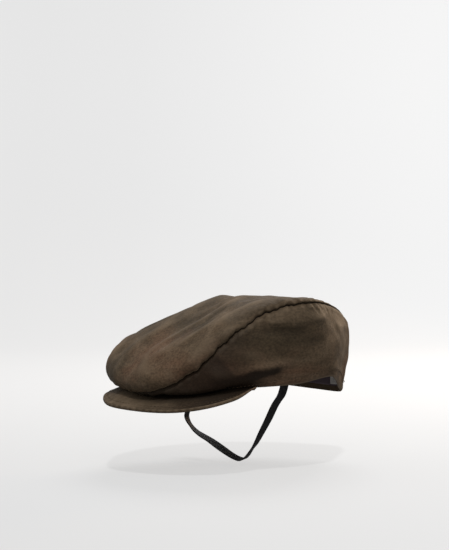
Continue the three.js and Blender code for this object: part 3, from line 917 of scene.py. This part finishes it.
def strap_mesh(sewing):
    """The elastic's ribbed section, swept along its line and twisted as it goes."""
    ribs = sewing.strap_ribs
    share = np.linspace(0, 1, STRAP_STEPS)
    centre = strap_line(share)
    along = unit(np.gradient(centre, axis=0))
    across = unit(np.cross(AHEAD, along))
    ahead = np.cross(along, across)
    twist = np.radians(strap_twist(share))
    wide = ahead * np.cos(twist) + across * np.sin(twist)
    thick = np.cross(along, wide)
    half_width, half_thick = sewing.strap_width / MM / 2, sewing.strap_thickness / MM / 2
    over = np.linspace(1, -1, ribs * RIB_STEPS + 1)
    ridge = RIB_HEIGHT * (np.abs(np.sin(np.pi * (over + 1) / 2 * ribs)) - RIB_LEVEL)
    edge = np.sqrt(np.clip(1 - np.abs(over) ** STRAP_EDGE_POWER, 0.05, 1))
    height = (half_thick + ridge) * edge
    x = np.concatenate([over, over[::-1]]) * half_width
    y = np.concatenate([height, -height[::-1]])
    grain = STRAP_GRAIN * np.sin(share * STRAP_GRAIN_RATE)[:, None] * np.sign(y)
    body = centre[:, None] + wide[:, None] * x[:, None] + thick[:, None] * (y + grain)[..., None]
    index = np.arange(STRAP_STEPS * len(x)).reshape(STRAP_STEPS, -1)
    faces = grid_faces(np.concatenate([index, index[:, :1]], axis=1))
    faces += [index[0].tolist(), index[-1][::-1].tolist()]
    return body, faces, centre


def make_band(name, turns, ups, depth, thickness, material, node, ring):
    turn, up = np.meshgrid(turns, ups)
    spread = np.stack([turn * ROUND, up * BAND_HEIGHT, 0 * turn], -1)
    wave = BAND_WAVE * noise_at(spread, BAND_WAVE_GRAIN, 7)
    outer = band_point(turn, up, depth + wave * up)
    inner = band_point(turn, up, depth + thickness + wave * up)
    faces = shell_faces(len(ups), len(turns), ring)
    make_piece(name, np.stack([outer, inner]), faces, material, node)


# The stage

# The paper's painted light is the product of one tone that grows to the right and one that grows away and
# up.
PAPER_LEFT, PAPER_RIGHT = 0.84, Ramp(0.13, -0.5, 0.6)
PAPER_NEAR, PAPER_AWAY, PAPER_UP = 0.79, Ramp(0.17, -0.9, 1.8), Ramp(0.03, 0, 0.8)


def studio_material(stage):
    """The pale seamless paper: it glows with painted light, brighter to the right and further away, and
    takes part of its light from the lamps.
    """
    material, tree = new_material("studio_paper")
    painted_paper_light = add_node(tree, "ShaderNodeAttribute", attribute_name="painted_paper_light").outputs["Color"]
    part = mix_colours(tree, 1.0, painted_paper_light, [stage.paper_share] * 3, "MULTIPLY")
    matt = add_node(tree, "ShaderNodeBsdfDiffuse", Color=part)
    glow = add_node(tree, "ShaderNodeEmission", Color=painted_paper_light, Strength=stage.paper_glow)
    both = add_node(tree, "ShaderNodeAddShader", matt.outputs[0], glow.outputs[0])
    add_node(tree, "ShaderNodeOutputMaterial", Surface=both.outputs[0])
    return material


def sky_light(stage):
    """An even light from all round, which changes from its strength below to that above."""
    world = bpy.data.worlds.new("studio")
    world.use_nodes = True
    tree = world.node_tree
    background = tree.nodes["Background"]
    put(tree, background.inputs["Color"], (1, 1, 1))
    place = add_node(tree, "ShaderNodeTexCoord").outputs["Generated"]
    height = add_node(tree, "ShaderNodeSeparateXYZ", place).outputs["Z"]
    fade = add_node(
        tree, "ShaderNodeMapRange", Value=height, From_Min=-0.5, To_Min=stage.ground, To_Max=stage.sky)
    put(tree, background.inputs["Strength"], fade.outputs["Result"])
    return world


def add_paper(scene, stage, spin):
    """A floor that curves up into a wall behind the cap, as the camera sees it."""
    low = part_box("chin_strap")[0].z - stage.floor_gap
    half_width, front, bend, radius, top = 5, -3.2, 1.6, 1.4, 4.5
    across = np.linspace(-half_width, half_width, 41)
    angles = np.linspace(0, np.pi / 2, 24)
    flat = np.linspace(front, bend, 30)[:-1]
    wall = np.linspace(radius, top, 7)[1:]
    depth = np.concatenate([flat, bend + radius * np.sin(angles), np.full_like(wall, bend + radius)])
    height = np.concatenate([0 * flat, radius * (1 - np.cos(angles)), wall])
    x, y = np.meshgrid(across, depth)
    z = np.meshgrid(across, height)[1]
    points = np.stack([x, y, z + low], -1)
    index = np.arange(x.size).reshape(x.shape)
    mesh = bpy.data.meshes.new("studio_paper")
    mesh.from_pydata(points.reshape(-1, 3).tolist(), [], grid_faces(index, flip=True))
    # Painted light on the glowing paper: brighter to the right, further away and higher up.
    painted_paper_light = PAPER_LEFT + on_ramp(x, PAPER_RIGHT)
    painted_paper_light = painted_paper_light * (PAPER_NEAR + on_ramp(y, PAPER_AWAY) + on_ramp(z, PAPER_UP))
    layer = mesh.attributes.new("painted_paper_light", "FLOAT_COLOR", "POINT")
    colours = np.repeat(painted_paper_light.reshape(-1, 1), 4, axis=1)
    colours[:, 3] = 1
    layer.data.foreach_set("color", colours.astype(np.float32).ravel())
    mesh.shade_smooth()
    mesh.materials.append(studio_material(stage))
    paper = bpy.data.objects.new("studio_paper", mesh)
    paper.matrix_world = spin
    paper.visible_diffuse = False
    paper.visible_glossy = False
    paper.visible_shadow = False
    scene.collection.objects.link(paper)


def add_camera(scene, stage):
    data = bpy.data.cameras.new("camera")
    data.lens = stage.lens
    data.sensor_width = 36
    data.clip_end = 50
    camera = bpy.data.objects.new("camera", data)
    sin, cos = np.sin, np.cos
    away = Vector((
        sin(stage.azimuth) * cos(stage.elevation), -cos(stage.azimuth) * cos(stage.elevation),
        sin(stage.elevation)))
    camera.location = Vector(stage.aim) + away * stage.distance
    camera.rotation_euler = away.to_track_quat("Z", "Y").to_euler()
    scene.collection.objects.link(camera)
    scene.camera = camera


def add_lamp(scene, spin, name, kind, place, power):
    """A light that faces the cap. Its place is right, away and up, as the camera sees it."""
    data = bpy.data.lights.new(name, kind)
    data.energy = power
    lamp = bpy.data.objects.new(name, data)
    lamp.location = spin @ Vector(place)
    lamp.rotation_euler = lamp.location.to_track_quat("Z", "Y").to_euler()
    scene.collection.objects.link(lamp)
    return data


# Operators

class CapPiece:
    """What the cap's piece operators share."""
    bl_options = {"REGISTER", "UNDO"}

    @classmethod
    def poll(cls, context):
        return hasattr(context.scene, "cap_cloth")


class CAP_OT_top_panel(CapPiece, Operator):
    """Make the full top panel of the crown"""
    bl_idname = "cap.top_panel"
    bl_label = "Top Panel"

    def execute(self, context):
        scene = context.scene
        turns = np.linspace(0, 1, TOP_GRID.columns, endpoint=False)
        downs = 1 - np.linspace(1, 0, TOP_GRID.rows) ** TOP_GRID.crowding
        points, faces, marks = crown_panel(
            turns, downs, TOP_FOLDS, TOP_CREASES, scene.cap_sewing, ring=True, dome=True)
        make_piece("top_cloth", points, faces, cotton(scene), "top_panel", marks)
        return {"FINISHED"}


class CAP_OT_side_panels(CapPiece, Operator):
    """Make the two side panels, which meet at the back seam"""
    bl_idname = "cap.side_panels"
    bl_label = "Side Panels"

    def execute(self, context):
        scene = context.scene
        spread = np.linspace(-1, 1, SIDE_GRID.rows)
        downs = 1.5 + 0.5 * np.sign(spread) * (1 - (1 - np.abs(spread)) ** SIDE_GRID.crowding)
        free = HALF_GAP / ROUND
        for name, start, folds, creases, hollow in (
            ("left", 0, LEFT_FOLDS, LEFT_CREASES, LEFT_HOLLOW),
            ("right", 0.5, RIGHT_FOLDS, RIGHT_CREASES, RIGHT_HOLLOW),
        ):
            turns = np.linspace(start + free, start + 0.5 - free, SIDE_GRID.columns)
            points, faces, marks = crown_panel(turns, downs, folds, creases, scene.cap_sewing, hollow)
            make_piece(
                f"{name}_cloth", points, faces, cotton(scene), f"side_{name}", marks)
        return {"FINISHED"}


class CAP_OT_peak(CapPiece, Operator):
    """Make the stiff peak with its cloth cover and rounded lip"""
    bl_idname = "cap.peak"
    bl_label = "Peak"

    def execute(self, context):
        points, faces, marks = peak_mesh()
        make_piece("peak_cloth", points, faces, cotton(context.scene), "peak", marks)
        return {"FINISHED"}


class CAP_OT_sweatband(CapPiece, Operator):
    """Make the sweatband inside the rim and the tab at its back"""
    bl_idname = "cap.sweatband"
    bl_label = "Sweatband and Tab"

    def execute(self, context):
        scene = context.scene
        inside, tape = scene.cap_cloth.lining, scene.cap_cloth.tape
        lining = material_once(
            "band_cotton", plain_cloth, toned(inside, 0.7), inside, threads=1800, roughness=0.85)
        tab = material_once(
            "tab_tape", plain_cloth, toned(tape, 0.75), tape, threads=1400, roughness=0.85)
        turns = np.linspace(0, 1, BAND_GRID.columns, endpoint=False)
        ups = np.linspace(1, 0, BAND_GRID.rows)
        make_band("band_cloth", turns, ups, 0, BAND_THICKNESS, lining, "sweatband", True)
        turns = np.linspace(TAB_FROM, TAB_TO, TAB_GRID.columns)
        ups = np.linspace(TAB_HIGH, TAB_LOW, TAB_GRID.rows)
        depth = BAND_THICKNESS + TAB_CLEAR
        make_band("tab_cloth", turns, ups, depth, TAB_THICKNESS, tab, "back_tab", False)
        return {"FINISHED"}


class CAP_OT_chin_strap(CapPiece, Operator):
    """Make the ribbed elastic chin strap, a free loop from side to side"""
    bl_idname = "cap.chin_strap"
    bl_label = "Chin Strap"

    def execute(self, context):
        scene = context.scene
        colour = scene.cap_cloth.elastic
        elastic = material_once(
            "black_elastic", plain_cloth, toned(colour, 0.45), toned(colour, 1.25),
            threads=1100, roughness=0.6, grain=420)
        points, faces, centre = strap_mesh(scene.cap_sewing)
        piece = make_piece("strap_elastic", points, faces, elastic, "chin_strap")
        return {"FINISHED"}


class CAP_OT_stitching(CapPiece, Operator):
    """Sew the visible rows of stitches along the rim and the peak"""
    bl_idname = "cap.stitching"
    bl_label = "Stitching"

    def execute(self, context):
        cloth = context.scene.cap_cloth
        thread = material_once(
            "brown_thread", plain_cloth, cloth.dark, cloth.middle, threads=2500, roughness=0.6)
        round_rim, along_edge = np.linspace(0.003, 0.997, 700), np.linspace(0.012, 0.988, 400)
        rows = {
            "rim_stitches": (round_rim, RIM_STITCH_DOWN, plain_crown, crown_normal, RIM_STITCH_LIFT),
            "peak_stitches": (along_edge, PEAK_STITCH_OUT, peak_point, peak_normal, PEAK_STITCH_LIFT),
        }
        for name, (along, row, point, normal, lift) in rows.items():
            place = np.full_like(along, row)
            up = normal(along, place)
            points, faces = stitch_row(point(along, place) + up * lift, up, context.scene.cap_sewing)
            make_piece(name, points, faces, thread)
        return {"FINISHED"}


class CAP_OT_stage(Operator):
    """Set up the seamless floor, the soft lights and the camera"""
    bl_idname = "cap.stage"
    bl_label = "Stage"

    def execute(self, context):
        scene = context.scene
        stage = scene.cap_stage
        scene.view_settings.view_transform = "Standard"
        spin = Matrix.Rotation(stage.azimuth, 4, "Z")
        add_paper(scene, stage, spin)
        add_camera(scene, stage)
        scene.world = sky_light(stage)
        sun = add_lamp(scene, spin, "sun_light", "SUN", (0, -0.69, 1), stage.sun_strength)
        sun.angle = np.radians(3)
        for name, place, size, power in (
            ("front_light", (0.1, -1.1, 0.85), 0.8, stage.front_power),
            ("top_light", (0.2, 0.85, 1.2), 0.8, stage.top_power),
            ("left_light", (-1.4, 0.1, 0.45), 0.7, stage.left_power),
            ("rim_light", (1.1, 1.2, 0.5), 0.5, stage.rim_power),
        ):
            add_lamp(scene, spin, name, "AREA", place, power).size = size
        bpy.data.lights["rim_light"].color = stage.rim_colour
        return {"FINISHED"}


class CAP_PT_panel(Panel):
    """Lists the cap's settings and the steps that make it"""
    bl_idname = "CAP_PT_panel"
    bl_label = "Flat Cap"
    bl_space_type = "VIEW_3D"
    bl_region_type = "UI"
    bl_category = "Flat Cap"

    def draw(self, context):
        layout = self.layout
        scene = context.scene
        for settings in (scene.cap_cloth, scene.cap_sewing, scene.cap_stage):
            box = layout.box()
            for name in settings.__annotations__:
                box.prop(settings, name)
        for step in STEPS:
            layout.operator(step.bl_idname)


STEPS = (
    CAP_OT_stage, CAP_OT_chin_strap, CAP_OT_top_panel, CAP_OT_side_panels, CAP_OT_peak,
    CAP_OT_sweatband, CAP_OT_stitching,
)
SETTINGS = (CapCloth, CapSewing, CapStage)


def register():
    for kind in (*SETTINGS, *STEPS, CAP_PT_panel):
        bpy.utils.register_class(kind)
    bpy.types.Scene.cap_cloth = PointerProperty(type=CapCloth)
    bpy.types.Scene.cap_sewing = PointerProperty(type=CapSewing)
    bpy.types.Scene.cap_stage = PointerProperty(type=CapStage)


def unregister():
    del bpy.types.Scene.cap_stage
    del bpy.types.Scene.cap_sewing
    del bpy.types.Scene.cap_cloth
    for kind in reversed((*SETTINGS, *STEPS, CAP_PT_panel)):
        bpy.utils.unregister_class(kind)


def main():
    register()
    bpy.ops.cap.stage()
    bpy.ops.cap.chin_strap()
    bpy.ops.cap.top_panel()
    bpy.ops.cap.side_panels()
    bpy.ops.cap.peak()
    bpy.ops.cap.sweatband()
    bpy.ops.cap.stitching()
    bpy.context.view_layer.update()


if __name__ == "__main__":
    main()
